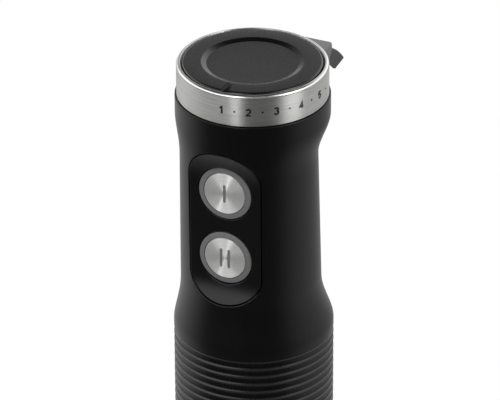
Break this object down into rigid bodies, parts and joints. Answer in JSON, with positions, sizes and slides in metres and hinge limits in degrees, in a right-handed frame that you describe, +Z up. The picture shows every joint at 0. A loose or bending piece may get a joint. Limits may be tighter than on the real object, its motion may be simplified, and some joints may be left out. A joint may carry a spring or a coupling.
{
  "type": "immersion blender",
  "caption": "Corded hand blender: scooped black handle with a metal speed ring, push buttons on a flat panel, fluted grip, and a latched steel leg with a bell guard round its blade.",
  "frame": {"origin": "on the drive axis, at the rim of the blade guard", "axes": "+Z up the drive axis from the blade to the top cap, -Y towards the buttons, +Y towards the cord outlet"},
  "size_m": [0.0656, 0.0974, 0.3957],
  "materials": {
    "ring_steel": "brushed along the turn",
    "button_steel": "spun brushed",
    "leg_steel": "polished",
    "blade_steel": "ground",
    "shaft_steel": "ground",
    "fastener_steel": "zinc plated",
    "body_black": "satin moulded",
    "panel_black": "fine satin",
    "cap_black": "fine spark texture",
    "grip_rubber": "matte",
    "button_grey": "satin",
    "hood_grey": "satin",
    "boot_rubber": "matte",
    "leg_plastic": "satin moulded",
    "coupling_nylon": "natural nylon",
    "inner_plastic": "moulded",
    "damper_rubber": "matte",
    "membrane_silicone": "matte",
    "circuit_board": "solder mask",
    "component_black": "moulded",
    "capacitor_case": "moulded",
    "heatsink_aluminium": "extruded",
    "lamination_iron": "stacked sheet",
    "winding_copper": "enamelled wire",
    "bush_bronze": "sintered",
    "brush_carbon": "pressed carbon"
  },
  "bodies": {
    "motor_unit": {"base_collar": "body_black", "latch_ring": "inner_plastic", "handle_shell": "body_black", "grip_sleeve": "grip_rubber", "button_panel": "panel_black", "top_deck": "inner_plastic", "top_cap": "cap_black", "speed_board": "circuit_board", "cord_hood": "hood_grey", "cord_boot": "boot_rubber", "switch_board": "circuit_board", "switch_membrane": "membrane_silicone", "tact_switch_1": "component_black", "tact_switch_2": "component_black", "board_screws": "fastener_steel", "control_board": "circuit_board", "triac_heatsink": "heatsink_aluminium", "suppressor_capacitor": "capacitor_case", "lower_damper": "damper_rubber", "lower_bracket": "inner_plastic", "lower_bearing": "fastener_steel", "stator_core": "lamination_iron", "field_coil_front": "winding_copper", "field_coil_back": "winding_copper", "upper_bracket": "inner_plastic", "upper_bearing": "fastener_steel", "upper_damper": "damper_rubber", "brush_holder_left": "bush_bronze", "brush_holder_right": "bush_bronze", "carbon_brush_left": "brush_carbon", "carbon_brush_right": "brush_carbon", "motor_screws": "fastener_steel", "base_screws": "fastener_steel"},
    "rotor": {"motor_shaft": "shaft_steel", "armature_core": "lamination_iron", "armature_windings": "winding_copper", "commutator": "winding_copper", "cooling_fan": "coupling_nylon", "drive_coupling": "coupling_nylon"},
    "speed_dial": {"speed_ring": "ring_steel", "ring_carrier": "inner_plastic", "ring_wiper": "bush_bronze"},
    "button_one": {"button_1": "button_grey", "button_1_face": "button_steel"},
    "button_two": {"button_2": "button_grey", "button_2_face": "button_steel"},
    "release_left": {"release_button_left": "button_grey"},
    "release_right": {"release_button_right": "button_grey"},
    "leg": {"blade_guard": "leg_steel", "leg_tube": "leg_steel", "leg_collar": "leg_plastic", "leg_spigot": "leg_plastic", "bearing_plug": "inner_plastic", "shaft_seal": "damper_rubber", "lower_bush": "bush_bronze", "upper_bush": "bush_bronze"},
    "blade_set": {"drive_shaft": "shaft_steel", "leg_coupling": "coupling_nylon", "blade": "blade_steel", "cap_nut": "blade_steel"}
  },
  "joints": [
    {"name": "rotor_spin", "type": "hinge", "parent": "motor_unit", "child": "rotor", "pos_m": [0, 0, 0.2427], "axis": [0, 0, 1], "continuous": true},
    {"name": "leg_pull", "type": "slide", "parent": "motor_unit", "child": "leg", "axis": [0, 0, -1], "range_m": [0, 0.03], "deforming": ["latch_ring"]},
    {"name": "blade_spin", "type": "hinge", "parent": "leg", "child": "blade_set", "pos_m": [0, 0, 0.0125], "axis": [0, 0, 1], "continuous": true},
    {"name": "speed_turn", "type": "hinge", "parent": "motor_unit", "child": "speed_dial", "pos_m": [0, 0, 0.389], "axis": [0, 0, -1], "range_deg": [0, 95]},
    {"name": "button_1_press", "type": "slide", "parent": "motor_unit", "child": "button_one", "axis": [0, 1, 0], "range_m": [0, 0.0016], "stiffness_N_per_m": 500, "springref_m": -0.002, "deforming": ["switch_membrane"]},
    {"name": "button_2_press", "type": "slide", "parent": "motor_unit", "child": "button_two", "axis": [0, 1, 0], "range_m": [0, 0.0016], "stiffness_N_per_m": 500, "springref_m": -0.002, "deforming": ["switch_membrane"]},
    {"name": "release_left_press", "type": "slide", "parent": "motor_unit", "child": "release_left", "axis": [1, 0, 0], "range_m": [0, 0.0015], "stiffness_N_per_m": 1500, "springref_m": -0.002, "deforming": ["latch_ring"]},
    {"name": "release_right_press", "type": "slide", "parent": "motor_unit", "child": "release_right", "axis": [-1, 0, 0], "range_m": [0, 0.0015], "stiffness_N_per_m": 1500, "springref_m": -0.002, "deforming": ["latch_ring"]}
  ],
  "couplings": [
    {"joint": "blade_spin", "follows": "rotor_spin", "ratio": 1}
  ]
}
